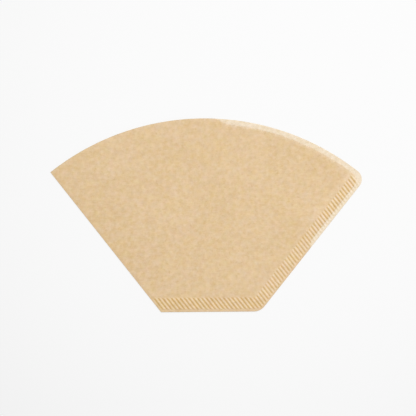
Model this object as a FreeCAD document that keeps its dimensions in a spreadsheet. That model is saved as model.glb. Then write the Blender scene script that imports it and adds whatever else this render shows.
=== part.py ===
import FreeCAD, Part
import Sketcher
import math
import os

# A paper filter for pour-over coffee, folded flat. One sheet is folded over along the left edge, and its
# two plies are crimped together along the bottom edge and the right edge. The mouth, an arc, stays open.
# The drawing frame has the fold corner at its origin, +X along the bottom edge and +Z up from the table.

os.makedirs("parts", exist_ok=True)
doc = FreeCAD.newDocument("coffee_filter")

# Driving sizes in millimetres and degrees
SIZES = {
    # outline of the folded sheet
    "bottom_width": 49.7,
    "fold_length": 90.0,
    "fold_angle": 52.1,
    "seam_angle": 51.25,
    "mouth_radius": 125.0,
    "bottom_round": 7.0,
    "mouth_round": 5.3,
    # paper and the gap between the two plies
    "paper": 0.2,
    "ply_gap": 0.1,
    # strips along the mouth and the seam where the front ply is trimmed short of the back ply
    "mouth_lip": 2.7,
    "mouth_lip_start": 27.7,
    "mouth_lip_slope": 27.0,
    "seam_lip": 2.3,
    "seam_lip_start": 40.8,
    "seam_lip_slope": 39.0,
    "lip_round": 4.5,
    # crimped band along the bottom edge and the seam, and how far it stays from each edge
    "band_width": 6.2,
    "bottom_margin": 1.15,
    "seam_margin": 0.6,
    "mouth_margin": 3.4,
    "fold_margin": 0.3,
    # ridges of the crimp, which run parallel to the fold; the foot of the first one lies in the fold
    "ridge_start": -0.7,
    "ridge_pitch": 1.725,
    "ridge_height": 0.35,
    "ridge_crest": 0.3,
    "ridge_trough": 0.2,
    "ridge_fade": 0.6,
    "ridge_root": 0.05,
}

# How far a cutting or adding solid runs past the paper that it works on
OVERRUN = 2.0
# Thickness of the folded sheet, and the height of a bar that stands clear of the ridges
TOP = "2 * sizes.paper + sizes.ply_gap"
BAR_RISE = "1.5 * sizes.ridge_height"
# Width across the ridges that holds the whole band: from the fold past the far end of the mouth
BANK_WIDTH = "(sizes.bottom_width * sin(sizes.fold_angle * 1 deg) + sizes.fold_length)"
BAR_HEIGHT = BAR_RISE + " + sizes.ridge_root"


def make_sheet():
    """Put each driving size in the spreadsheet, as a number with an alias."""
    sheet = doc.addObject("Spreadsheet::Sheet", "sizes")
    for row, (alias, value) in enumerate(SIZES.items(), start=1):
        sheet.set("A%d" % row, alias)
        sheet.set("B%d" % row, str(value))
        sheet.setAlias("B%d" % row, alias)
    doc.recompute()
    return sheet


sheet = make_sheet()


def size(alias):
    return getattr(sheet, alias)


def bind(thing, prop, expression):
    thing.setExpression(prop, expression)


# Plane geometry of the outline, which gives each sketch its starting points
UP = FreeCAD.Vector(0, 0, 1)
BACKWARD = FreeCAD.Vector(0, 1, 0)


def vec(x, y):
    return FreeCAD.Vector(x, y, 0)


def turned(angle_deg):
    """Unit vector at an angle from +X."""
    return vec(math.cos(math.radians(angle_deg)), math.sin(math.radians(angle_deg)))


def meet(p, d, q, e):
    """Point where the line through p along d meets the line through q along e."""
    cross = d.x * e.y - d.y * e.x
    gap = q.sub(p)
    return p.add(d * ((gap.x * e.y - gap.y * e.x) / cross))


def on_circle(p, d, centre, radius):
    """Far point where the line through p along the unit vector d meets a circle."""
    lead = p.sub(centre)
    along = lead.dot(d)
    return p.add(d * (math.sqrt(along ** 2 - lead.dot(lead) + radius ** 2) - along))


fold_dir = turned(180 - size("fold_angle"))
seam_dir = turned(size("seam_angle"))
seam_in = turned(size("seam_angle") + 90)
fold_in = turned(90 - size("fold_angle"))
origin = vec(0, 0)
bottom_dir = vec(1, 0)
seam_foot = bottom_dir * size("bottom_width")
fold_top = fold_dir * size("fold_length")
mouth_centre = fold_top.sub(fold_dir * size("mouth_radius"))


# Sketches
START, END, CENTRE = 1, 2, 3
ORIGIN = (-1, 1)


def find_plane(body, role):
    for plane in body.Origin.OriginFeatures:
        if plane.Role == role:
            return plane
    raise RuntimeError("no plane " + role)


def new_sketch(body, name, role="XY_Plane", lift=None):
    """Sketch on an origin plane of its body, lifted off it by an expression."""
    sketch = body.newObject("Sketcher::SketchObject", name)
    sketch.AttachmentSupport = [(find_plane(body, role), "")]
    sketch.MapMode = "FlatFace"
    if lift:
        bind(sketch, "AttachmentOffset.Base.z", lift)
    return sketch


def add_line(sketch, start, end, construction=False):
    return sketch.addGeometry(Part.LineSegment(start, end), construction)


def add_arc(sketch, centre, start, end):
    """Arc counter-clockwise from start to end."""
    radius = start.distanceToPoint(centre)
    first = math.atan2(start.y - centre.y, start.x - centre.x)
    last = math.atan2(end.y - centre.y, end.x - centre.x)
    if last < first:
        last += 2 * math.pi
    circle = Part.Circle(centre, UP, radius)
    return sketch.addGeometry(Part.ArcOfCircle(circle, first, last), False)


def add_circle(sketch, centre, radius):
    """Construction circle."""
    return sketch.addGeometry(Part.Circle(centre, UP, radius), True)


def tie(sketch, *terms):
    return sketch.addConstraint(Sketcher.Constraint(*terms))


def join(sketch, edges, smooth=()):
    """Join edges end to start into a closed loop, with no corner at the end of those in smooth."""
    for edge, follower in zip(edges, edges[1:] + edges[:1]):
        tie(sketch, "Tangent" if edge in smooth else "Coincident", edge, END, follower, START)


def drive(sketch, kind, terms, expression, start_value):
    """Add a dimension and bind it to the spreadsheet."""
    index = tie(sketch, kind, *terms, start_value)
    bind(sketch, "Constraints[%d]" % index, expression)


def pad(body, name, sketch, length):
    feature = body.newObject("PartDesign::Pad", name)
    feature.Profile = sketch
    bind(feature, "Length", length)
    return feature


def pocket(body, name, sketch, depth):
    """Cut down from the sketch."""
    feature = body.newObject("PartDesign::Pocket", name)
    feature.Profile = sketch
    bind(feature, "Length", depth)
    return feature


def add_axes(sketch):
    """Construction lines: the fold, from its corner to the mouth's centre, and the seam's edge."""
    fold = add_line(sketch, origin, mouth_centre, True)
    seam = add_line(sketch, seam_foot, seam_foot.add(seam_dir * size("bottom_width")), True)
    tie(sketch, "Coincident", fold, START, *ORIGIN)
    drive(sketch, "DistanceX", (*ORIGIN, fold, END),
          "(sizes.mouth_radius - sizes.fold_length) * cos(sizes.fold_angle * 1 deg)", mouth_centre.x)
    drive(sketch, "DistanceY", (fold, END, *ORIGIN),
          "(sizes.mouth_radius - sizes.fold_length) * sin(sizes.fold_angle * 1 deg)", -mouth_centre.y)
    tie(sketch, "PointOnObject", seam, START, -1)
    drive(sketch, "DistanceX", (*ORIGIN, seam, START), "sizes.bottom_width", seam_foot.x)
    drive(sketch, "Distance", (seam,), "sizes.bottom_width", size("bottom_width"))
    drive(sketch, "Angle", (seam,), "sizes.seam_angle * 1 deg", math.radians(size("seam_angle")))
    return fold, seam


def draw_outline(body, name, lift=None):
    """Outline of the folded sheet: bottom, rounded corner, seam, rounded corner, mouth and fold."""
    low, high, reach = size("bottom_round"), size("mouth_round"), size("mouth_radius")
    low_centre = meet(vec(0, low), bottom_dir, seam_foot.add(seam_in * low), seam_dir)
    high_centre = on_circle(seam_foot.add(seam_in * high), seam_dir, mouth_centre, reach - high)
    bottom_end = vec(low_centre.x, 0)
    seam_start = low_centre.sub(seam_in * low)
    seam_end = high_centre.sub(seam_in * high)
    mouth_start = mouth_centre.add(high_centre.sub(mouth_centre).normalize() * reach)

    sketch = new_sketch(body, name, lift=lift)
    fold_axis, seam_axis = add_axes(sketch)
    bottom = add_line(sketch, origin, bottom_end)
    low_arc = add_arc(sketch, low_centre, bottom_end, seam_start)
    seam = add_line(sketch, seam_start, seam_end)
    high_arc = add_arc(sketch, high_centre, seam_end, mouth_start)
    mouth = add_arc(sketch, mouth_centre, mouth_start, fold_top)
    fold = add_line(sketch, fold_top, origin)
    tie(sketch, "Coincident", bottom, START, *ORIGIN)
    tie(sketch, "Horizontal", bottom)
    join(sketch, [bottom, low_arc, seam, high_arc, mouth, fold], smooth=[bottom, low_arc, seam, high_arc])
    tie(sketch, "PointOnObject", seam_axis, START, seam)
    tie(sketch, "Parallel", seam, seam_axis)
    tie(sketch, "Coincident", mouth, CENTRE, fold_axis, END)
    tie(sketch, "Parallel", fold, fold_axis)
    drive(sketch, "Radius", (low_arc,), "sizes.bottom_round", low)
    drive(sketch, "Radius", (high_arc,), "sizes.mouth_round", high)
    drive(sketch, "Radius", (mouth,), "sizes.mouth_radius", reach)
    return sketch


def draw_lip(body, name, lift=None):
    """Strip between the front ply's trimmed edge and lines that run clear of the paper."""
    reach, lip, turn = size("mouth_radius") - size("mouth_lip"), size("seam_lip"), size("lip_round")
    clear_reach = size("mouth_radius") + OVERRUN
    turn_centre = on_circle(seam_foot.add(seam_in * (lip + turn)), seam_dir, mouth_centre, reach - turn)
    seam_end = turn_centre.sub(seam_in * turn)
    mouth_end = mouth_centre.add(turn_centre.sub(mouth_centre).normalize() * reach)
    rise = math.sqrt(size("mouth_radius") ** 2 - (size("mouth_lip_start") - mouth_centre.x) ** 2)
    ramp_mark = vec(size("mouth_lip_start"), mouth_centre.y + rise)
    ramp_dir = turned(-size("mouth_lip_slope"))
    ramp_low = on_circle(ramp_mark, ramp_dir * -1, mouth_centre, clear_reach)
    ramp_end = on_circle(ramp_mark, ramp_dir * -1, mouth_centre, reach)
    step_mark = seam_foot.add(seam_dir * size("seam_lip_start"))
    step_dir = turned(size("seam_angle") + size("seam_lip_slope"))
    step_in = meet(step_mark, step_dir, seam_foot.add(seam_in * lip), seam_dir)
    step_out = meet(step_mark, step_dir, seam_foot.sub(seam_in * OVERRUN), seam_dir)
    far = on_circle(step_out, seam_dir, mouth_centre, clear_reach)

    sketch = new_sketch(body, name, lift=lift)
    fold_axis, seam_axis = add_axes(sketch)
    mouth_circle = add_circle(sketch, mouth_centre, size("mouth_radius"))
    ramp = add_line(sketch, ramp_end, ramp_low)
    outer_mouth = add_arc(sketch, mouth_centre, far, ramp_low)
    outer_seam = add_line(sketch, step_out, far)
    step = add_line(sketch, step_in, step_out)
    inner_seam = add_line(sketch, seam_end, step_in)
    turn_arc = add_arc(sketch, turn_centre, seam_end, mouth_end)
    inner_mouth = add_arc(sketch, mouth_centre, mouth_end, ramp_end)
    ramp_point = sketch.addGeometry(Part.Point(ramp_mark), True)
    step_point = sketch.addGeometry(Part.Point(step_mark), True)
    tie(sketch, "Coincident", mouth_circle, CENTRE, fold_axis, END)
    tie(sketch, "Coincident", outer_mouth, CENTRE, fold_axis, END)
    tie(sketch, "Coincident", inner_mouth, CENTRE, fold_axis, END)
    tie(sketch, "Coincident", ramp, END, outer_mouth, END)
    tie(sketch, "Coincident", outer_mouth, START, outer_seam, END)
    tie(sketch, "Coincident", outer_seam, START, step, END)
    tie(sketch, "Coincident", step, START, inner_seam, END)
    tie(sketch, "Tangent", inner_seam, START, turn_arc, START)
    tie(sketch, "Tangent", turn_arc, END, inner_mouth, START)
    tie(sketch, "Coincident", inner_mouth, END, ramp, START)
    tie(sketch, "Parallel", inner_seam, seam_axis)
    tie(sketch, "Parallel", outer_seam, seam_axis)
    tie(sketch, "PointOnObject", ramp_point, 1, mouth_circle)
    tie(sketch, "PointOnObject", ramp_point, 1, ramp)
    tie(sketch, "PointOnObject", step_point, 1, seam_axis)
    tie(sketch, "PointOnObject", step_point, 1, step)
    drive(sketch, "Radius", (mouth_circle,), "sizes.mouth_radius", size("mouth_radius"))
    drive(sketch, "Radius", (inner_mouth,), "sizes.mouth_radius - sizes.mouth_lip", reach)
    drive(sketch, "Radius", (turn_arc,), "sizes.lip_round", turn)
    drive(sketch, "Distance", (seam_axis, START, inner_seam), "sizes.seam_lip", lip)
    drive(sketch, "DistanceX", (*ORIGIN, ramp_point, 1), "sizes.mouth_lip_start", ramp_mark.x)
    drive(sketch, "Distance", (seam_axis, START, step_point, 1), "sizes.seam_lip_start",
          size("seam_lip_start"))
    drive(sketch, "Angle", (ramp,), "(180 - sizes.mouth_lip_slope) * 1 deg",
          math.radians(180 - size("mouth_lip_slope")))
    drive(sketch, "Angle", (step,), "(sizes.seam_angle + sizes.seam_lip_slope - 180) * 1 deg",
          math.radians(size("seam_angle") + size("seam_lip_slope") - 180))
    tie(sketch, "Radius", outer_mouth, clear_reach)
    tie(sketch, "Distance", seam_axis, START, outer_seam, OVERRUN)
    return sketch


def draw_band(body, name, lift=None):
    """Crimped band: along the bottom, round the corner and up the seam, with its ends cut square."""
    low, wide = size("bottom_margin"), size("band_width")
    side, turn = size("seam_margin"), size("bottom_round") - size("seam_margin")
    start_mark = fold_in * size("fold_margin")
    outer_foot = seam_foot.add(seam_in * side)
    inner_foot = seam_foot.add(seam_in * (side + wide))
    start_low = meet(start_mark, fold_dir, vec(0, low), bottom_dir)
    start_high = meet(start_mark, fold_dir, vec(0, low + wide), bottom_dir)
    turn_centre = meet(vec(0, low + turn), bottom_dir, outer_foot.add(seam_in * turn), seam_dir)
    turn_start = vec(turn_centre.x, low)
    turn_end = turn_centre.sub(seam_in * turn)
    end_reach = size("mouth_radius") - size("mouth_margin")
    end_in = on_circle(inner_foot, seam_dir, mouth_centre, end_reach)
    end_out = end_in.sub(seam_in * wide)
    inner_corner = meet(vec(0, low + wide), bottom_dir, inner_foot, seam_dir)

    sketch = new_sketch(body, name, lift=lift)
    fold_axis, seam_axis = add_axes(sketch)
    end_circle = add_circle(sketch, mouth_centre, end_reach)
    bottom = add_line(sketch, start_low, turn_start)
    arc = add_arc(sketch, turn_centre, turn_start, turn_end)
    seam = add_line(sketch, turn_end, end_out)
    end = add_line(sketch, end_out, end_in)
    inner_seam = add_line(sketch, end_in, inner_corner)
    inner_bottom = add_line(sketch, inner_corner, start_high)
    start = add_line(sketch, start_high, start_low)
    tie(sketch, "Coincident", end_circle, CENTRE, fold_axis, END)
    join(sketch, [bottom, arc, seam, end, inner_seam, inner_bottom, start], smooth=[bottom, arc])
    tie(sketch, "Horizontal", bottom)
    tie(sketch, "Horizontal", inner_bottom)
    tie(sketch, "Parallel", seam, seam_axis)
    tie(sketch, "Parallel", inner_seam, seam_axis)
    tie(sketch, "Perpendicular", end, seam_axis)
    tie(sketch, "Parallel", start, fold_axis)
    tie(sketch, "PointOnObject", end, END, end_circle)
    drive(sketch, "Radius", (end_circle,), "sizes.mouth_radius - sizes.mouth_margin", end_reach)
    drive(sketch, "Radius", (arc,), "sizes.bottom_round - sizes.seam_margin", turn)
    drive(sketch, "Distance", (*ORIGIN, start), "sizes.fold_margin", size("fold_margin"))
    drive(sketch, "DistanceY", (*ORIGIN, bottom, START), "sizes.bottom_margin", low)
    drive(sketch, "DistanceY", (*ORIGIN, start, START), "sizes.bottom_margin + sizes.band_width", low + wide)
    drive(sketch, "Distance", (seam_axis, START, seam), "sizes.seam_margin", side)
    drive(sketch, "Distance", (seam_axis, START, inner_seam), "sizes.seam_margin + sizes.band_width",
          side + wide)
    return sketch


def draw_fold(body, name):
    """Section of the fold, square to it: half a ring that joins the back ply to the front ply."""
    paper, gap = size("paper"), size("ply_gap")
    middle = vec(0, paper + gap / 2)
    corners = [vec(0, 0), vec(0, paper), vec(0, paper + gap), vec(0, 2 * paper + gap)]

    sketch = new_sketch(body, name, role="XZ_Plane")
    sketch.AttachmentOffset = FreeCAD.Placement(origin, FreeCAD.Rotation(BACKWARD, 90 - size("fold_angle")))
    bind(sketch, "AttachmentOffset.Rotation.Angle", "(90 - sizes.fold_angle) * 1 deg")
    back = add_line(sketch, corners[0], corners[1])
    inside = add_arc(sketch, middle, corners[2], corners[1])
    front = add_line(sketch, corners[2], corners[3])
    outside = add_arc(sketch, middle, corners[3], corners[0])
    tie(sketch, "Coincident", back, START, *ORIGIN)
    tie(sketch, "Vertical", back)
    tie(sketch, "Vertical", front)
    tie(sketch, "PointOnObject", front, START, -2)
    tie(sketch, "Coincident", back, END, inside, END)
    tie(sketch, "Coincident", inside, START, front, START)
    tie(sketch, "Coincident", front, END, outside, START)
    tie(sketch, "Coincident", outside, END, back, START)
    tie(sketch, "Coincident", inside, CENTRE, outside, CENTRE)
    tie(sketch, "PointOnObject", inside, CENTRE, -2)
    drive(sketch, "DistanceY", (back, START, back, END), "sizes.paper", paper)
    drive(sketch, "DistanceY", (back, END, front, START), "sizes.ply_gap", gap)
    return sketch


def draw_trim(body, name, lift):
    """Strip below the bottom edge, where the fold's square end would stick out."""
    sketch = new_sketch(body, name, lift=lift)
    corners = [vec(-OVERRUN, -OVERRUN), vec(OVERRUN, -OVERRUN), vec(OVERRUN, 0), vec(-OVERRUN, 0)]
    lines = [add_line(sketch, a, b) for a, b in zip(corners, corners[1:] + corners[:1])]
    join(sketch, lines)
    for line in lines[::2]:
        tie(sketch, "Horizontal", line)
    for line in lines[1::2]:
        tie(sketch, "Vertical", line)
    tie(sketch, "PointOnObject", lines[2], START, -1)
    tie(sketch, "DistanceX", *ORIGIN, lines[2], START, OVERRUN)
    tie(sketch, "DistanceX", lines[2], END, *ORIGIN, OVERRUN)
    tie(sketch, "DistanceY", lines[0], START, lines[3], START, OVERRUN)
    return sketch


def draw_ridge(body, name):
    """Section of one ridge: a narrow flat crest, and flanks that run a little below the surface."""
    pitch, trough = size("ridge_pitch"), size("ridge_trough")
    crest, rise, root = size("ridge_crest"), size("ridge_height"), size("ridge_root")
    lean = (pitch - trough - crest) / 2 / rise
    left, right = trough / 2, pitch - trough / 2
    corners = [vec(left - root * lean, -root), vec(right + root * lean, -root),
               vec(right - rise * lean, rise), vec(left + rise * lean, rise)]

    sketch = new_sketch(body, name, role="XZ_Plane")
    base, right_flank, top, left_flank = lines = [
        add_line(sketch, a, b) for a, b in zip(corners, corners[1:] + corners[:1])]
    left_foot = sketch.addGeometry(Part.Point(vec(left, 0)), True)
    right_foot = sketch.addGeometry(Part.Point(vec(right, 0)), True)
    join(sketch, lines)
    tie(sketch, "Horizontal", base)
    tie(sketch, "Horizontal", top)
    for foot, flank in ((left_foot, left_flank), (right_foot, right_flank)):
        tie(sketch, "PointOnObject", foot, 1, -1)
        tie(sketch, "PointOnObject", foot, 1, flank)
    drive(sketch, "DistanceX", (*ORIGIN, left_foot, 1), "sizes.ridge_trough / 2", left)
    drive(sketch, "DistanceX", (*ORIGIN, right_foot, 1), "sizes.ridge_pitch - sizes.ridge_trough / 2", right)
    drive(sketch, "DistanceX", (*ORIGIN, top, END), "(sizes.ridge_pitch - sizes.ridge_crest) / 2",
          (pitch - crest) / 2)
    drive(sketch, "DistanceX", (top, END, top, START), "sizes.ridge_crest", crest)
    drive(sketch, "DistanceY", (*ORIGIN, top, START), "sizes.ridge_height", rise)
    drive(sketch, "DistanceY", (base, START, *ORIGIN), "sizes.ridge_root", root)
    return sketch


def make_bank():
    """Bank of ridges, wide and long enough for the whole band."""
    body = doc.addObject("PartDesign::Body", "ridge_bank")
    body.AllowCompound = True
    sketch = draw_ridge(body, "ridge_section")
    ridge = pad(body, "ridge", sketch, "sizes.fold_length")
    ridge.Midplane = True
    rows = body.newObject("PartDesign::LinearPattern", "ridges")
    rows.Originals = [ridge]
    rows.Direction = (sketch, ["H_Axis"])
    rows.Mode = "Spacing"
    bind(rows, "Offset", "sizes.ridge_pitch")
    bind(rows, "Occurrences", "ceil(" + BANK_WIDTH + " / sizes.ridge_pitch)")
    body.Tip = rows
    body.Placement = FreeCAD.Placement(origin, FreeCAD.Rotation(UP, 90 - size("fold_angle")))
    bind(body, "Placement.Rotation.Angle", "(90 - sizes.fold_angle) * 1 deg")
    bind(body, "Placement.Base.x", "sizes.ridge_start * sin(sizes.fold_angle * 1 deg)")
    bind(body, "Placement.Base.y", "sizes.ridge_start * cos(sizes.fold_angle * 1 deg)")
    return body


def make_plies():
    """Both plies with the fold between them, joined where the band is crimped."""
    body = doc.addObject("PartDesign::Body", "plies")
    pad(body, "back_ply", draw_outline(body, "back_outline"), "sizes.paper")
    pad(body, "seam_join", draw_band(body, "join_area", "sizes.paper"), "sizes.ply_gap")
    front_level = "sizes.paper + sizes.ply_gap"
    pad(body, "front_ply", draw_outline(body, "front_outline", front_level), "sizes.paper")
    fold = pad(body, "fold", draw_fold(body, "fold_section"), "sizes.fold_length")
    fold.Reversed = True
    pocket(body, "corner_trim", draw_trim(body, "below_bottom", TOP), TOP)
    pocket(body, "front_trim", draw_lip(body, "front_lip", TOP), "sizes.paper + sizes.ply_gap")
    return body


def make_band():
    """Band as a bar with sloping sides, in which the ridges fade out."""
    body = doc.addObject("PartDesign::Body", "band")
    bar = pad(body, "band_bar", draw_band(body, "band_area", "-sizes.ridge_root"), BAR_HEIGHT)
    doc.recompute()
    highest = max(range(len(bar.Shape.Faces)), key=lambda i: bar.Shape.Faces[i].CenterOfMass.z)
    slopes = body.newObject("PartDesign::Chamfer", "band_slopes")
    slopes.Base = (bar, ["Face%d" % (highest + 1)])
    slopes.ChamferType = "Two distances"
    bind(slopes, "Size", BAR_RISE)
    bind(slopes, "Size2", BAR_RISE + " * sizes.ridge_fade / sizes.ridge_height")
    return body


def make_lip():
    """Solid over the trimmed strips, through all of the paper."""
    body = doc.addObject("PartDesign::Body", "lip")
    pad(body, "lip_block", draw_lip(body, "lip_area"), TOP + " + 2 * sizes.ridge_height")
    return body


def make_ridges(name, bank, band, level=None):
    """Ridges of the band, on a surface at a level."""
    ridges = doc.addObject("Part::Common", name)
    ridges.Base = bank
    ridges.Tool = band
    if level:
        bind(ridges, "Placement.Base.z", level)
    return ridges


def combine(kind, name, base, tool):
    result = doc.addObject("Part::" + kind, name)
    result.Base = base
    result.Tool = tool
    return result


def make_filter():
    """Crimped sheet: ridges stand on the top of the paper, and hollows of the same form are under them.

    The front ply carries the ridges except on the trimmed strip, where they stand on the back ply.
    """
    plies, bank, band, lip = make_plies(), make_bank(), make_band(), make_lip()
    front_ridges = make_ridges("front_ridges", bank, band, TOP)
    back_ridges = make_ridges("back_ridges", bank, band, "sizes.paper")
    hollows = make_ridges("hollows", bank, band)
    front_part = combine("Cut", "front_ridges_trimmed", front_ridges, lip)
    lip_part = combine("Common", "lip_ridges", back_ridges, lip)
    ridged = doc.addObject("Part::MultiFuse", "ridged_plies")
    ridged.Shapes = [plies, front_part, lip_part]
    paper = combine("Cut", "filter_paper", ridged, hollows)
    paper.Label = "filter_paper"
    return paper


def set_on_origin(thing):
    """Move the part's origin to the middle of its outline, at the level of the table."""
    box = thing.Shape.optimalBoundingBox()
    thing.Placement.Base = FreeCAD.Vector(-box.Center.x, -box.Center.y, -box.ZMin)


def check_document():
    for thing in doc.Objects:
        if "Invalid" in thing.State or "Error" in thing.State:
            raise RuntimeError(thing.Name + " failed")


def check_solid(thing):
    shape = thing.Shape
    if shape.isNull() or not shape.isValid() or len(shape.Solids) != 1:
        raise RuntimeError(thing.Label + " isn't one valid solid")


filter_paper = make_filter()
doc.recompute()
check_document()
check_solid(filter_paper)
set_on_origin(filter_paper)
doc.recompute()
check_document()
check_solid(filter_paper)
filter_paper.Shape.exportStep("parts/%s.step" % filter_paper.Label)
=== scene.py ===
import math

import bpy
import numpy as np
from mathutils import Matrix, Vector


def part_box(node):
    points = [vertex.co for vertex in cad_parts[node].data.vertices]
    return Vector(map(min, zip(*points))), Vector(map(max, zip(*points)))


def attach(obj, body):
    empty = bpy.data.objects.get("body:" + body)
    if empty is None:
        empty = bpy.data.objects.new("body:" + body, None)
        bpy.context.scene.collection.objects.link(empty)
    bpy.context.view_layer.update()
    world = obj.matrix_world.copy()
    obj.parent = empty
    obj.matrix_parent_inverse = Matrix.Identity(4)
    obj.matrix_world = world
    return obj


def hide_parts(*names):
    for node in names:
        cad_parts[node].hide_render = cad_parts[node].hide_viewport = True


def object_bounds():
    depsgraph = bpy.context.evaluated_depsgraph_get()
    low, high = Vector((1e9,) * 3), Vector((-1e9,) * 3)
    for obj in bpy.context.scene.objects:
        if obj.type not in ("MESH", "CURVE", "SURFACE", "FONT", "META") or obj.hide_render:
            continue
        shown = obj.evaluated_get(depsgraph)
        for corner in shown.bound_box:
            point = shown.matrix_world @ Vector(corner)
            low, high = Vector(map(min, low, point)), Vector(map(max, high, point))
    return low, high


# A flat-folded paper coffee filter, seen from straight above on a white table.
# Sizes are in millimetres in the part's drawing frame: the fold corner is the origin, +X runs along the
# bottom edge and +Z is up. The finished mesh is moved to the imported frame, in metres.
MM = 0.001

# Outline of the folded sheet
BOTTOM_WIDTH = 49.7
FOLD_LENGTH = 90.0
FOLD_ANGLE = math.radians(52.1)
SEAM_ANGLE = math.radians(51.25)
MOUTH_RADIUS = 125.0
BOTTOM_ROUND = 7.0
MOUTH_ROUND = 5.3
PAPER = 0.2
PLY_GAP = 0.1

# Strips where the front ply is trimmed short of the back ply
MOUTH_LIP = 2.7
MOUTH_LIP_START = 27.7
MOUTH_LIP_SLOPE = math.radians(27.0)
SEAM_LIP = 2.3
SEAM_LIP_START = 40.8
SEAM_LIP_SLOPE = math.radians(39.0)
LIP_ROUND = 4.5

# Crimped band, how far it stays from each edge, over what width its bottom margin turns into the seam's,
# and its ridges, which fade out at its borders
BAND_WIDTH = 6.2
BOTTOM_MARGIN = 1.15
SEAM_MARGIN = 0.6
MOUTH_MARGIN = 3.4
FOLD_MARGIN = 0.3
MARGIN_BLEND = 2.0
RIDGE_START = -0.7
RIDGE_PITCH = 1.725
RIDGE_HEIGHT = 0.35
RIDGE_FADE = 0.6

# How much weaker the crimp is on the strip of one ply, and on the lower half of the seam. The seam's own
# look sets in over a stretch from its foot, and that of its upper half between two distances from it.
LIP_CALM = 0.6
LOWER_SEAM_CALM = 0.2
SEAM_SET_IN = 12.0
SEAM_UPPER_HALF = (36.0, 58.0)

# How far the front ply stands off the back ply in the middle of the mouth, between which distances from the
# crimped edges it rises, and how far it springs up past the fold and the band
BELLY = 0.18
BELLY_RISE = (7.0, 60.0)
SPRING = 0.12
SPRING_WIDTH = 1.2

# The paper's slight waves, and over which distances from the crimped edges and the fold they set in
COCKLE = 0.05
COCKLE_LENGTHS = (62.0, 47.0, 35.0, 27.0, 21.0, 16.0)
COCKLE_SEED = 7
COCKLE_RISE = (7.5, 17.0)
COCKLE_FOLD_RISE = 12.0

# Painted light showing through thin paper beside a free edge: how far in, and how much at the mouth, along
# the trimmed edge of the front ply and along the bottom and the seam. On the strip of one ply the rim is
# painted darker instead.
RIM_WIDTH = 1.8
MOUTH_RIM = 0.13
TRIMMED_RIM = 0.25
CRIMPED_RIM = 0.05
ONE_PLY_RIM = 0.14

# Where the mark for one ply sets in, as distances past the front ply's edge, and how far short of the back
# ply the front ply ends where it counts as trimmed
ONE_PLY_START = (-0.5, -0.2)
TRIM_START = (0.5, 1.5)

# Each ridge has painted light on its flank towards the lamp and painted shade on the flank away from it:
# how far this pattern lies shifted off the ridge tops. All the crimp is paler up the seam: how much in the
# lower half, where that starts from the edge, how far past the band it goes in the upper half, and how
# softly it ends.
PAINTED_LIGHT_SHIFT = 0.33
LOWER_PALENESS = 0.5
PALE_START = (0.5, 1.2)
PALE_REACH = 2.2
PALE_SOFTNESS = 1.0

# Mesh density: points of an arc, columns over each ridge, round the fold and before the far corner, and
# rows by their distances from the lower edge and from the mouth, with even rows between them. A short
# column keeps some room for its even rows, and towards the far corner, where the mouth runs almost along
# the fold, the rows stop getting further apart.
ARC_STEPS = 48
STEPS_PER_RIDGE = 8
BEND_STEPS = 8
END_GAPS = (0.15, 0.09, 0.045, 0.015, 0.003)
EDGE_ROWS = (0.0, 0.35, 0.6, 0.9, 1.2, 1.45, 1.75, 2.05, 2.3, 2.55, 2.9, 3.7, 4.6, 5.5, 6.2, 6.5, 6.8, 7.05,
             7.35, 8.2)
MOUTH_ROWS = (6.0, 4.6, 3.4, 3.0, 2.8, 2.5, 2.1, 1.7, 1.2, 0.6, 0.0)
FIELD_ROWS = 10
LEAST_ROOM = 1.15
LEAST_RISE = 0.15

# Camera: the photograph's pixels, millimetres of table per pixel, the pixel over the part's origin, how far
# the photograph is turned, the camera's height in metres, and its sensor's width
PHOTO_SIZE = 416
MM_PER_PIXEL = 0.50344
ORIGIN_PIXEL = (206.38, 215.13)
PHOTO_TURN = math.radians(0.453)
CAMERA_HEIGHT = 1.6
SENSOR = 36.0


# Plane geometry of the outline
def unit(angle):
    return np.array([math.cos(angle), math.sin(angle)])


def direction(vector):
    return math.atan2(vector[1], vector[0])


def meet(p, d, q, e):
    """Point where the line through p along d meets the line through q along e."""
    gap = q - p
    return p + d * ((gap[0] * e[1] - gap[1] * e[0]) / (d[0] * e[1] - d[1] * e[0]))


def on_circle(p, d, centre, radius):
    """Far point where the line through p along the unit vector d meets a circle."""
    lead = p - centre
    along = lead @ d
    return p + d * (math.sqrt(along ** 2 - lead @ lead + radius ** 2) - along)


def arc(centre, radius, start, end):
    """Points of an arc between two directions, given as angles."""
    angles = np.linspace(start, end, ARC_STEPS)[:, None]
    return centre + radius * np.hstack([np.cos(angles), np.sin(angles)])


ALONG_BOTTOM = np.array([1.0, 0.0])
ALONG_FOLD = unit(math.pi - FOLD_ANGLE)
ACROSS_FOLD = unit(math.pi / 2 - FOLD_ANGLE)
ALONG_SEAM = unit(SEAM_ANGLE)
INTO_SEAM = unit(SEAM_ANGLE + math.pi / 2)
SEAM_FOOT = np.array([BOTTOM_WIDTH, 0.0])
MOUTH_CENTRE = ALONG_FOLD * (FOLD_LENGTH - MOUTH_RADIUS)
LOW_CENTRE = meet(np.array([0.0, BOTTOM_ROUND]), ALONG_BOTTOM,
                  SEAM_FOOT + INTO_SEAM * BOTTOM_ROUND, ALONG_SEAM)


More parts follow.
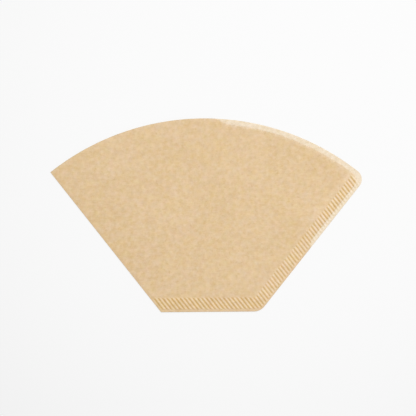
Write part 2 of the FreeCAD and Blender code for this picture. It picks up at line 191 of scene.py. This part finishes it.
def outline(lip):
    """Lower and upper edge of a ply, from the fold to the far corner. lip says that it is trimmed."""
    side = SEAM_LIP if lip else 0.0
    reach = MOUTH_RADIUS - (MOUTH_LIP if lip else 0.0)
    far_round = LIP_ROUND if lip else MOUTH_ROUND
    far_centre = on_circle(SEAM_FOOT + INTO_SEAM * (side + far_round), ALONG_SEAM, MOUTH_CENTRE,
                           reach - far_round)
    furthest = direction(ACROSS_FOLD)
    off_seam = direction(-INTO_SEAM)
    off_mouth = direction(far_centre - MOUTH_CENTRE)
    lower = [np.zeros((1, 2)), arc(LOW_CENTRE, BOTTOM_ROUND, -math.pi / 2, off_seam)]
    if lip:
        mark = SEAM_FOOT + ALONG_SEAM * SEAM_LIP_START
        step = unit(SEAM_ANGLE + SEAM_LIP_SLOPE)
        lower += [mark[None], meet(mark, step, SEAM_FOOT + INTO_SEAM * SEAM_LIP, ALONG_SEAM)[None]]
    lower.append(arc(far_centre, far_round, off_seam, furthest))
    upper = [arc(far_centre, far_round, furthest, off_mouth)]
    if lip:
        rise = math.sqrt(MOUTH_RADIUS ** 2 - (MOUTH_LIP_START - MOUTH_CENTRE[0]) ** 2)
        mark = np.array([MOUTH_LIP_START, MOUTH_CENTRE[1] + rise])
        ramp_end = on_circle(mark, -unit(-MOUTH_LIP_SLOPE), MOUTH_CENTRE, reach)
        upper.append(arc(MOUTH_CENTRE, reach, off_mouth, direction(ramp_end - MOUTH_CENTRE)))
        upper.append(arc(MOUTH_CENTRE, MOUTH_RADIUS, direction(mark - MOUTH_CENTRE), direction(ALONG_FOLD)))
    else:
        upper.append(arc(MOUTH_CENTRE, reach, off_mouth, direction(ALONG_FOLD)))
    return np.vstack(lower), np.vstack(upper)[::-1]


def from_fold(points):
    """Distance from the fold, and distance along it, of points in the plane."""
    return points @ np.stack([ACROSS_FOLD, ALONG_FOLD], axis=-1)


def to_plane(across, along):
    return across[..., None] * ACROSS_FOLD + along[..., None] * ALONG_FOLD


def enclosed(edge):
    """Area inside a closed chain of points."""
    after = np.roll(edge, -1, axis=0)
    return abs(np.sum(edge[:, 0] * after[:, 1] - edge[:, 1] * after[:, 0])) / 2


def flat_cut():
    """Width, length and area, in metres, of the sheet before it was folded.

    Both plies lie side by side at the fold, the front one trimmed.
    """
    edges = [np.vstack([lower, upper[::-1]]) for lower, upper in (outline(lip=False), outline(lip=True))]
    unfolded = [from_fold(edge) for edge in edges]
    width = sum(points[:, 0].max() for points in unfolded)
    length = np.ptp(np.vstack(unfolded)[:, 1])
    area = sum(enclosed(edge) for edge in edges)
    return (width * MM, length * MM), area * MM ** 2


# Mesh grid of a ply
def smooth(value, low, high):
    """0 below low and 1 above high, with a soft rise between."""
    t = np.clip((value - low) / (high - low), 0, 1)
    return t * t * (3 - 2 * t)


def offset_edge(across, inset):
    """Distance along the fold of the untrimmed lower edge, moved in by inset."""
    bottom = (inset - across * ACROSS_FOLD[1]) / ALONG_FOLD[1]
    seam = (inset + (SEAM_FOOT - across * ACROSS_FOLD) @ INTO_SEAM) / (ALONG_FOLD @ INTO_SEAM)
    along = max(bottom, seam)
    radius = BOTTOM_ROUND - inset
    if radius > 0:
        centre = from_fold(LOW_CENTRE)
        start = centre[0] - radius * ACROSS_FOLD[1]
        end = centre[0] - radius * (INTO_SEAM @ ACROSS_FOLD)
        if start < across < end:
            along = centre[1] - math.sqrt(radius ** 2 - (across - centre[0]) ** 2)
    return along


def below_mouth(across, inset):
    """Distance along the fold between the untrimmed mouth and a curve that lies in by inset."""
    rise = math.sqrt(max(0.0, 1 - (across / (MOUTH_RADIUS - inset / 2)) ** 2))
    return inset / max(rise, LEAST_RISE)


def spread(rows, trimmed):
    """Insets of the rows where the edge itself lies in by trimmed."""
    deepest = max(rows)
    return [trimmed + row * (deepest - trimmed) / deepest for row in rows]


def rows_between(across, low, high):
    """Rows of one column: close together over the crimped band and beside the mouth.

    A short column's rows move closer, so that room is left for the field.
    """
    trimmed = max(0.0, (low - offset_edge(across, 0.0)) * (ALONG_FOLD @ INTO_SEAM))
    edge = np.array([offset_edge(across, inset) for inset in spread(EDGE_ROWS, trimmed)]) - low
    edge[0] = 0.0
    trimmed = max(0.0, MOUTH_RADIUS - math.hypot(across, high - FOLD_LENGTH + MOUTH_RADIUS))
    mouth = np.array([below_mouth(across, inset) for inset in spread(MOUTH_ROWS, trimmed)])
    mouth = mouth - mouth[-1]
    room = high - low
    needed = LEAST_ROOM * (edge[-1] + mouth[0])
    if needed > room:
        edge = edge * room / needed
        mouth = mouth * room / needed
    field = np.linspace(edge[-1], room - mouth[0], FIELD_ROWS + 1)[1:-1]
    return low + np.concatenate([edge, field, room - mouth])


class Ply:
    """Grid over one ply: columns run along the fold, and rows from the lower edge to the mouth."""

    def __init__(self, lip):
        self.lower, self.upper = (from_fold(edge) for edge in outline(lip))
        self.far = self.lower[:, 0].max()
        step = RIDGE_PITCH / STEPS_PER_RIDGE
        even = np.arange(0, self.far - END_GAPS[0] - step / 2, step)
        columns = np.concatenate([even, self.far - np.array(END_GAPS)])
        ends = zip(columns, self.lower_at(columns), self.upper_at(columns))
        self.along = np.array([rows_between(*end) for end in ends])
        self.across = np.repeat(columns[:, None], self.along.shape[1], axis=1)

    def lower_at(self, across):
        return np.interp(across, self.lower[:, 0], self.lower[:, 1])

    def upper_at(self, across):
        return np.interp(across, self.upper[:, 0], self.upper[:, 1])

    def rims(self):
        """1 on the mouth's edge and 0 from RIM_WIDTH in, and the same for the bottom and the seam."""
        outward = to_plane(self.across, self.along) - MOUTH_CENTRE
        rise = outward @ ALONG_FOLD / np.linalg.norm(outward, axis=-1)
        from_mouth = (self.upper_at(self.across) - self.along) * rise
        from_low = (self.along - self.lower_at(self.across)) * (ALONG_FOLD @ INTO_SEAM)
        return 1 - smooth(from_mouth, 0, RIM_WIDTH), 1 - smooth(from_low, 0, RIM_WIDTH)

    def past_edge(self, across, along):
        """How far past the ply's edges each point lies, measured along the fold: below 0 inside them."""
        within = np.minimum(along - self.lower_at(across), self.upper_at(across) - along)
        return np.where(across < self.far, -within, 1.0)


# Height of the sheet, and marks for its material
def edge_distance(points):
    """Distance in from the untrimmed lower edge with its corner, and from the bottom and the seam alone."""
    bottom = points[..., 1]
    seam = (points - SEAM_FOOT) @ INTO_SEAM
    from_centre = points - LOW_CENTRE
    in_corner = (from_centre[..., 0] > 0) & (from_centre @ ALONG_SEAM < 0)
    round_corner = BOTTOM_ROUND - np.hypot(from_centre[..., 0], from_centre[..., 1])
    return np.where(in_corner, round_corner, np.minimum(bottom, seam)), bottom, seam


def up_the_seam(points):
    """1 along the seam, from a little above its foot, and 0 in its lower half to 1 in its upper half."""
    along = (points - SEAM_FOOT) @ ALONG_SEAM
    return smooth(along, 0, SEAM_SET_IN), smooth(along, *SEAM_UPPER_HALF)


def past_band(bottom, seam):
    """0 in the crimped band and 1 in the field inside it."""
    start = BAND_WIDTH - RIDGE_FADE
    return smooth(bottom - BOTTOM_MARGIN, start, BAND_WIDTH) * smooth(seam - SEAM_MARGIN, start, BAND_WIDTH)


def band_strength(points, across):
    """1 inside the crimped band and 0 outside it, fading across its borders, and less on the lower seam."""
    edge, bottom, seam = edge_distance(points)
    margin_share = smooth(seam - bottom, -MARGIN_BLEND, MARGIN_BLEND)
    margin = SEAM_MARGIN + (BOTTOM_MARGIN - SEAM_MARGIN) * margin_share
    outer = smooth(edge, margin, margin + RIDGE_FADE)
    inner_foot = SEAM_FOOT + INTO_SEAM * (SEAM_MARGIN + BAND_WIDTH)
    end_point = on_circle(inner_foot, ALONG_SEAM, MOUTH_CENTRE, MOUTH_RADIUS - MOUTH_MARGIN)
    to_end = (end_point - points) @ ALONG_SEAM
    ends = smooth(to_end, 0, RIDGE_FADE) * smooth(across, FOLD_MARGIN, FOLD_MARGIN + RIDGE_FADE)
    on_seam, upper = up_the_seam(points)
    calm = 1 - LOWER_SEAM_CALM * on_seam * (1 - upper)
    return outer * (1 - past_band(bottom, seam)) * ends * calm


def wave(across):
    """0 in the troughs and 1 on the crests."""
    return (1 - np.cos(2 * math.pi * (across - RIDGE_START) / RIDGE_PITCH)) / 2


def cockle(points):
    """Slight waves of dry paper, between 0 and 1."""
    rng = np.random.default_rng(COCKLE_SEED)
    total = np.zeros(points.shape[:-1])
    for length in COCKLE_LENGTHS:
        heading = unit(rng.uniform(0, math.pi))
        total += length * np.sin(2 * math.pi * (points @ heading) / length + rng.uniform(0, 2 * math.pi))
    return 0.5 + 0.5 * total / sum(COCKLE_LENGTHS)


def seam_paleness(points):
    """How pale the crimp is: 0 along the bottom, more along the seam, most and widest in its upper half."""
    edge, bottom, seam = edge_distance(points)
    on_seam, upper = up_the_seam(points)
    border = SEAM_MARGIN + BAND_WIDTH + PALE_REACH * upper
    level = on_seam * (LOWER_PALENESS + (1 - LOWER_PALENESS) * upper)
    fade = smooth(seam, border - PALE_SOFTNESS, border + PALE_SOFTNESS)
    return level * smooth(edge, *PALE_START) * (1 - fade)


def painted_show_through(ply, single, trimmed):
    """Painted light showing through: 1 where there is one ply, and a little beside the free edges of two
    plies.
    """
    mouth, low = ply.rims()
    two = np.maximum(mouth * (MOUTH_RIM + (TRIMMED_RIM - MOUTH_RIM) * trimmed), low * CRIMPED_RIM)
    return single * (1 - ONE_PLY_RIM * mouth) + (1 - single) * two


def ply_grid(ply, level, single, trimmed):
    """Middle surface of one ply that lies at a level, with its marks."""
    points = to_plane(ply.across, ply.along)
    edge = edge_distance(points)[0]
    strength = band_strength(points, ply.across) * (1 - LIP_CALM * single)
    z = level + RIDGE_HEIGHT * strength * wave(ply.across)
    z = z + COCKLE * cockle(points) * (smooth(edge, *COCKLE_RISE) * smooth(ply.across, 0, COCKLE_FOLD_RISE))
    # Painted light on each ridge's flank towards the lamp, and painted shade on the flank away from it
    painted_ridge_light = strength * wave(ply.across - PAINTED_LIGHT_SHIFT)
    painted_ridge_shade = strength - painted_ridge_light
    pale = seam_paleness(points) * (1 - single)
    return np.dstack([points, z, painted_show_through(ply, single, trimmed), painted_ridge_shade, painted_ridge_light, pale])


def stand_off(z, ply):
    """Height of the front ply, raised a little off the back ply."""
    edge, bottom, seam = edge_distance(to_plane(ply.across, ply.along))
    share = ply.across / ply.far
    belly = BELLY * 4 * share * (1 - share) * smooth(edge, *BELLY_RISE)
    spring = SPRING * smooth(ply.across, 0, SPRING_WIDTH) * past_band(bottom, seam)
    return z + belly + spring


def bend_grid(first):
    """Columns round the fold, made from the back ply's first one. Their feet keep to the bottom edge."""
    middle = (PAPER + PLY_GAP) / 2
    share = 1 - np.sqrt(np.linspace(0, 1, len(first)))
    columns = []
    for turn in np.linspace(0, math.pi, BEND_STEPS + 1)[1:-1]:
        out = -middle * math.sin(turn)
        slide = -out * ACROSS_FOLD[1] / ALONG_FOLD[1] * share
        column = first.copy()
        column[:, :2] += out * ACROSS_FOLD + slide[:, None] * ALONG_FOLD
        column[:, 2] = PAPER / 2 + middle - middle * math.cos(turn)
        columns.append(column)
    return np.array(columns)


def sheet_grid():
    """Middle surface of the sheet, from the back ply's far corner round the fold to the front ply's."""
    back, front = Ply(lip=False), Ply(lip=True)
    single = smooth(front.past_edge(back.across, back.along), *ONE_PLY_START)
    trimmed = smooth(back.upper_at(front.across) - front.upper_at(front.across), *TRIM_START)
    back_grid = ply_grid(back, PAPER / 2, single, 0.0)
    front_grid = ply_grid(front, PAPER / 2 + PAPER + PLY_GAP, np.zeros_like(front.across), trimmed)
    front_grid[..., 2] = stand_off(front_grid[..., 2], front)
    return np.concatenate([back_grid[::-1], bend_grid(back_grid[0]), front_grid])


# Closed mesh
MARKS = ("show_through", "painted_ridge_shade", "painted_ridge_light", "pale")


def grid_normals(points):
    along_columns = np.gradient(points, axis=0)
    along_rows = np.gradient(points, axis=1)
    normals = np.cross(along_columns, along_rows)
    return normals / np.linalg.norm(normals, axis=-1, keepdims=True)


def strip(first, second):
    """Quads between two equal chains of vertex numbers."""
    return np.stack([first[:-1], first[1:], second[1:], second[:-1]], axis=-1).reshape(-1, 4)


def make_paper():
    """Closed mesh of the folded sheet, with its marks for the material as point attributes."""
    grid = sheet_grid()
    middle, marks = grid[..., :3], grid[..., 3:]
    lift = grid_normals(middle) * (PAPER / 2)
    outer, inner = middle + lift, middle - lift
    numbers = np.arange(middle.shape[0] * middle.shape[1]).reshape(middle.shape[:2])
    under = numbers + numbers.size
    faces = [strip(numbers[i], numbers[i + 1])[:, ::-1] for i in range(len(numbers) - 1)]
    faces += [strip(under[i], under[i + 1]) for i in range(len(numbers) - 1)]
    faces.append(strip(numbers[:, 0], under[:, 0])[:, ::-1])
    faces.append(strip(numbers[:, -1], under[:, -1]))
    faces.append(strip(numbers[0], under[0]))
    faces.append(strip(numbers[-1], under[-1])[:, ::-1])
    vertices = np.concatenate([outer.reshape(-1, 3), inner.reshape(-1, 3)])
    vertices[:, 1] = np.maximum(vertices[:, 1], 0.0)
    shift = np.array(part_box("filter_paper")[0]) - vertices.min(axis=0) * MM
    mesh = bpy.data.meshes.new("paper")
    mesh.from_pydata((vertices * MM + shift).tolist(), [], np.concatenate(faces).tolist())
    for name, values in zip(MARKS, np.moveaxis(marks, -1, 0)):
        attribute = mesh.attributes.new(name, "FLOAT", "POINT")
        attribute.data.foreach_set("value", np.tile(values.ravel(), 2).astype(np.float32))
    mesh.polygons.foreach_set("use_smooth", [True] * len(mesh.polygons))
    mesh.update()
    return bpy.data.objects.new("paper", mesh)


# Materials
class Nodes:
    """A material's node tree, with short calls to add and join nodes."""

    def __init__(self, name):
        self.material = bpy.data.materials.new(name)
        self.material.use_nodes = True
        self.tree = self.material.node_tree
        self.tree.nodes.clear()

    def add(self, kind, inputs=None, **settings):
        node = self.tree.nodes.new(kind)
        for key, value in settings.items():
            setattr(node, key, value)
        for key, value in (inputs or {}).items():
            if isinstance(value, bpy.types.NodeSocket):
                self.tree.links.new(value, node.inputs[key])
            else:
                node.inputs[key].default_value = value
        return node

    def mark(self, name):
        """A point attribute of the mesh."""
        return self.add("ShaderNodeAttribute", attribute_name=name).outputs["Fac"]

    def maths(self, operation, *values):
        return self.add("ShaderNodeMath", dict(enumerate(values)), operation=operation).outputs[0]

    def between(self, value, low, high, start=0.0, end=1.0):
        """Value mapped from low..high to start..end, held at both ends."""
        inputs = {"Value": value, "From Min": low, "From Max": high, "To Min": start, "To Max": end}
        return self.add("ShaderNodeMapRange", inputs).outputs["Result"]

    def noise(self, vector, scale, detail=2.0, roughness=0.5):
        inputs = {"Vector": vector, "Scale": scale, "Detail": detail, "Roughness": roughness}
        return self.add("ShaderNodeTexNoise", inputs).outputs["Fac"]

    def placed(self, vector, scale=(1.0, 1.0, 1.0), turn=0.0, shift=(0.0, 0.0, 0.0)):
        inputs = {"Vector": vector, "Scale": scale, "Rotation": (0.0, 0.0, turn), "Location": shift}
        return self.add("ShaderNodeMapping", inputs).outputs[0]

    def mix(self, share, first, second, blend="MIX"):
        """Mix of two colours by a share, which is held between 0 and 1."""
        inputs = {0: share, 6: first, 7: second}
        return self.add("ShaderNodeMix", inputs, data_type="RGBA", blend_type=blend).outputs[2]


def colour(red, green, blue):
    return (red, green, blue, 1.0)


# Unbleached paper: two plies over a white table, and factors for painted light where the white table shows
# through one ply, for painted shade and painted light on the crimp's two flanks, and for its paler part
DARK_MOTTLE = colour(0.645, 0.445, 0.222)
LIGHT_MOTTLE = colour(0.861, 0.659, 0.434)
OCHRE_FLECK = colour(0.56, 0.35, 0.15)
# Painted light: how much paler one ply is, with the white table showing through it
ONE_PLY_SHOW_THROUGH = colour(1.157, 1.337, 1.701)
# Painted shade on the crimp's flank away from the lamp, and painted light on the flank towards it
PAINTED_RIDGE_SHADE = colour(0.94, 0.86, 0.605)
PAINTED_RIDGE_LIGHT = colour(1.065, 1.13, 1.295)
PALE = colour(1.045, 1.065, 1.13)

# Noises of the paper's tone, by their scale per millimetre, and how far each one moves the tone
MOTTLE_SCALE, MOTTLE_SHARE = 0.56, 0.9
CLOUD_SCALE, CLOUD_SHARE = 0.03, 0.35
GRAIN_SCALE, GRAIN_SHARE = 2.2, 0.5
GRAIN_DETAIL, GRAIN_ROUGHNESS = 3.0, 0.65
FIBRE_STRETCH, FIBRE_SHARE = (0.35, 3.2, 1.0), 0.25
FIBRE_TURNS = (0.5, 1.9, 2.8)

# Tints of the two plies: which patch of noise, its scale, and the factors at its two ends. They are weaker
# on one ply. Flecks show where their noise is high.
TINTS = (
    (2, 0.39, colour(1.0, 1.0, 0.84), colour(1.0, 1.0, 1.16)),
    (3, 0.45, colour(0.95, 1.01, 1.03), colour(1.05, 0.99, 0.97)),
    (5, 0.08, colour(1.005, 1.0, 0.915), colour(0.995, 1.0, 1.085)),
)
ONE_PLY_TINT = 0.4
FLECK_SCALE, FLECK_DETAIL = 0.55, 1.0
FLECK_LEVELS = (0.66, 0.80)
FLECK_SHARE = 0.30
CLOUD_PATCH, FLECK_PATCH = 1, 4
PATCH_STEP = (90.0, 50.0)

# Surface of the paper, with the bump in metres
BUMP_STRENGTH = 0.35
BUMP_HEIGHT = 0.00004
FIBRE_BUMP = 0.5
PAPER_ROUGHNESS = 0.92
PAPER_SPECULAR = 0.15


def paper_material():
    """Mottled brown paper with fibres, flecks and fine grain, coloured further by the mesh's marks."""
    n = Nodes("unbleached_paper")
    mm = n.placed(n.add("ShaderNodeTexCoord").outputs["Object"], (1 / MM, 1 / MM, 1 / MM))

    def patch(number):
        """Millimetres counted from elsewhere, so that no two noises coincide."""
        return n.placed(mm, shift=(PATCH_STEP[0] * number, PATCH_STEP[1] * number, 0.0))

    mottle = n.noise(mm, MOTTLE_SCALE)
    cloud = n.noise(patch(CLOUD_PATCH), CLOUD_SCALE)
    grain = n.noise(mm, GRAIN_SCALE, GRAIN_DETAIL, GRAIN_ROUGHNESS)
    fibres = [n.noise(n.placed(mm, FIBRE_STRETCH, turn), 1.0) for turn in FIBRE_TURNS]
    fibre = n.maths("ADD", n.maths("ADD", fibres[0], fibres[1]), fibres[2])
    tone = 0.5
    for pattern, middle, share in ((mottle, 0.5, MOTTLE_SHARE), (cloud, 0.5, CLOUD_SHARE),
                                   (grain, 0.5, GRAIN_SHARE), (fibre, 1.5, FIBRE_SHARE)):
        tone = n.maths("ADD", tone, n.maths("MULTIPLY", n.maths("SUBTRACT", pattern, middle), share))
    paper = n.mix(tone, DARK_MOTTLE, LIGHT_MOTTLE)
    tinted = paper
    for number, scale, start, end in TINTS:
        tinted = n.mix(1.0, tinted, n.mix(n.noise(patch(number), scale), start, end), "MULTIPLY")
    paper = n.mix(n.between(n.mark("show_through"), 0.0, 1.0, 1.0, ONE_PLY_TINT), paper, tinted)
    fleck = n.noise(patch(FLECK_PATCH), FLECK_SCALE, FLECK_DETAIL)
    paper = n.mix(n.between(fleck, *FLECK_LEVELS, 0.0, FLECK_SHARE), paper, OCHRE_FLECK)
    # Painted shade and painted light on the crimp's flanks, the paler seam, and painted light showing
    # through the paper
    for mark, tint in (("painted_ridge_shade", PAINTED_RIDGE_SHADE), ("painted_ridge_light", PAINTED_RIDGE_LIGHT), ("pale", PALE), ("show_through", ONE_PLY_SHOW_THROUGH)):
        paper = n.mix(n.mark(mark), paper, n.mix(1.0, paper, tint, "MULTIPLY"))
    height = n.maths("ADD", n.maths("MULTIPLY", fibre, FIBRE_BUMP), grain)
    bump = n.add("ShaderNodeBump", {"Strength": BUMP_STRENGTH, "Distance": BUMP_HEIGHT, "Height": height})
    shader = n.add("ShaderNodeBsdfPrincipled",
                   {"Base Color": paper, "Roughness": PAPER_ROUGHNESS, "Specular IOR Level": PAPER_SPECULAR,
                    "Normal": bump.outputs[0]})
    n.add("ShaderNodeOutputMaterial", {"Surface": shader.outputs[0]})
    return n.material


# Stage, in metres: a white table just under the part, a plain white sky and one soft lamp from the upper
# right. The table's plain white is painted a little dimmer away from one spot, a painted falloff of light.
FLOOR_SIZE = 6.0
FLOOR_DROP = 0.00005
FLOOR_PLAIN = 0.8
FLOOR_LIT = colour(0.93, 0.93, 0.93)
FLOOR_WHITE = colour(0.97, 0.97, 0.97)
# Painted falloff of light on the table's plain white: its dimmest tone, the spot it falls off from, how far
# and how steeply
FLOOR_PAINTED_DIM = colour(0.885, 0.885, 0.885)
PAINTED_LIGHT_SPOT = (0.035, 0.06, 0.0)
DIM_DISTANCE = 0.21
DIM_POWER = 3.0
SKY_LEVEL = 0.69
KEY_POWER = 4.4
KEY_SIZE = 0.5
KEY_AZIMUTH = math.radians(46)
KEY_HEIGHT = math.radians(50)
KEY_DISTANCE = 1.0


def floor_material():
    """White table: plain white to the camera for the most part, with the rest lit, so that shadows show."""
    n = Nodes("white_table")
    lit = n.add("ShaderNodeBsdfDiffuse", {"Color": FLOOR_LIT}).outputs[0]
    place = n.add("ShaderNodeTexCoord").outputs["Object"]
    away = n.add("ShaderNodeVectorMath", {0: place, 1: PAINTED_LIGHT_SPOT}, operation="DISTANCE").outputs["Value"]
    # Painted falloff of light: the plain white grows dimmer away from one spot
    painted_dimness = n.maths("POWER", n.between(away, 0.0, DIM_DISTANCE), DIM_POWER)
    white = n.mix(painted_dimness, FLOOR_WHITE, FLOOR_PAINTED_DIM)
    plain = n.add("ShaderNodeEmission", {"Color": white, "Strength": 1.0}).outputs[0]
    seen = n.add("ShaderNodeLightPath").outputs["Is Camera Ray"]
    share = n.maths("MULTIPLY", seen, FLOOR_PLAIN)
    surface = n.add("ShaderNodeMixShader", {0: share, 1: lit, 2: plain}).outputs[0]
    n.add("ShaderNodeOutputMaterial", {"Surface": surface})
    return n.material


def make_floor():
    half = FLOOR_SIZE / 2
    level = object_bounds()[0][2] - FLOOR_DROP
    corners = [(-half, -half, level), (half, -half, level), (half, half, level), (-half, half, level)]
    mesh = bpy.data.meshes.new("floor")
    mesh.from_pydata(corners, [], [(0, 1, 2, 3)])
    mesh.materials.append(floor_material())
    floor = bpy.data.objects.new("floor", mesh)
    bpy.context.scene.collection.objects.link(floor)


def make_sky():
    world = bpy.data.worlds.new("studio")
    world.use_nodes = True
    background = world.node_tree.nodes["Background"]
    background.inputs["Color"].default_value = colour(1.0, 1.0, 1.0)
    background.inputs["Strength"].default_value = SKY_LEVEL
    bpy.context.scene.world = world


def make_key():
    light = bpy.data.lights.new("key", "AREA")
    light.energy = KEY_POWER
    light.size = KEY_SIZE
    key = bpy.data.objects.new("key", light)
    flat = KEY_DISTANCE * math.cos(KEY_HEIGHT)
    level = KEY_DISTANCE * math.sin(KEY_HEIGHT)
    key.location = (flat * math.cos(KEY_AZIMUTH), flat * math.sin(KEY_AZIMUTH), level)
    key.rotation_euler = (math.pi / 2 - KEY_HEIGHT, 0.0, KEY_AZIMUTH + math.pi / 2)
    bpy.context.scene.collection.objects.link(key)


def make_camera():
    """Camera straight above the table, with the part where the photograph has it."""
    data = bpy.data.cameras.new("camera")
    data.sensor_width = SENSOR
    data.lens = SENSOR * CAMERA_HEIGHT / (PHOTO_SIZE * MM_PER_PIXEL * MM)
    camera = bpy.data.objects.new("camera", data)
    right = (PHOTO_SIZE / 2 - ORIGIN_PIXEL[0]) * MM_PER_PIXEL * MM
    up = (ORIGIN_PIXEL[1] - PHOTO_SIZE / 2) * MM_PER_PIXEL * MM
    x = right * math.cos(PHOTO_TURN) + up * math.sin(PHOTO_TURN)
    y = up * math.cos(PHOTO_TURN) - right * math.sin(PHOTO_TURN)
    camera.location = (x, y, CAMERA_HEIGHT)
    camera.rotation_euler = (0.0, 0.0, -PHOTO_TURN)
    bpy.context.scene.collection.objects.link(camera)
    bpy.context.scene.camera = camera


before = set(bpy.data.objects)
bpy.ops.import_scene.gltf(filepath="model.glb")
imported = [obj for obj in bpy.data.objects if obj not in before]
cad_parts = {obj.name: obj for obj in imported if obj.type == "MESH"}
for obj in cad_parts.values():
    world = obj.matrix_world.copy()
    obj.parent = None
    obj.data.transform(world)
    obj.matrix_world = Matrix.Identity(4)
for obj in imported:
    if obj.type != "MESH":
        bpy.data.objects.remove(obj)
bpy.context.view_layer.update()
paper = make_paper()
paper.data.materials.append(paper_material())
bpy.context.scene.collection.objects.link(paper)
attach(paper, "root")
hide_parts("filter_paper")
flat_size, flat_area = flat_cut()
make_floor()
make_sky()
make_key()
make_camera()
bpy.context.scene.view_settings.view_transform = "Standard"
